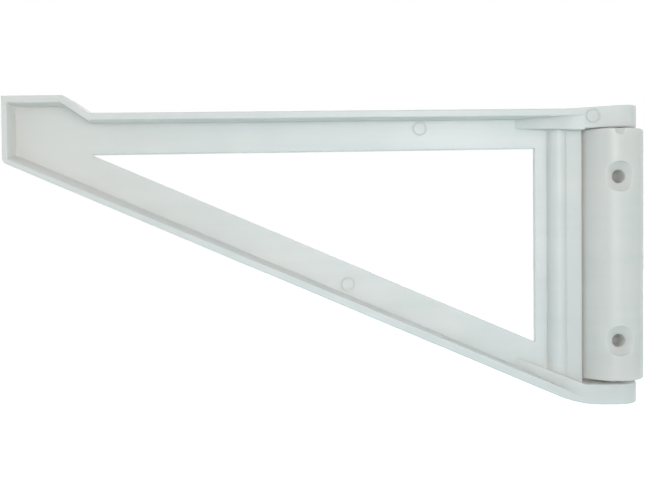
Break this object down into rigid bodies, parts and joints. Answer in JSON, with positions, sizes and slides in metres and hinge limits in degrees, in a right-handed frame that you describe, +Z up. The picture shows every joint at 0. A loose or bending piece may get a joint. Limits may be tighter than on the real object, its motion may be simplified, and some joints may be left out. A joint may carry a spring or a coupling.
{
  "type": "folding shelf bracket",
  "caption": "Plastic shelf bracket with a triangular arm that folds flat to either side on pins in a half-round wall bracket.",
  "frame": {"origin": "on the wall plane, midway between the two wall screws", "axes": "+Y into the wall, +Z up, +X to the right of someone who faces the wall; the arm is folded towards -X"},
  "size_m": [0.2524, 0.0245, 0.1229],
  "materials": {
    "arm_plastic": "satin white",
    "bracket_plastic": "satin white",
    "pin_steel": "plain"
  },
  "bodies": {
    "wall_bracket": {"wall_bracket": "bracket_plastic"},
    "arm": {"folding_arm": "arm_plastic", "hinge_pin_upper": "pin_steel", "hinge_pin_lower": "pin_steel"}
  },
  "joints": [
    {"name": "arm_swing", "type": "hinge", "parent": "wall_bracket", "child": "arm", "pos_m": [0, -0.012, 0], "axis": [0, 0, 1], "range_deg": [0, 180]}
  ]
}
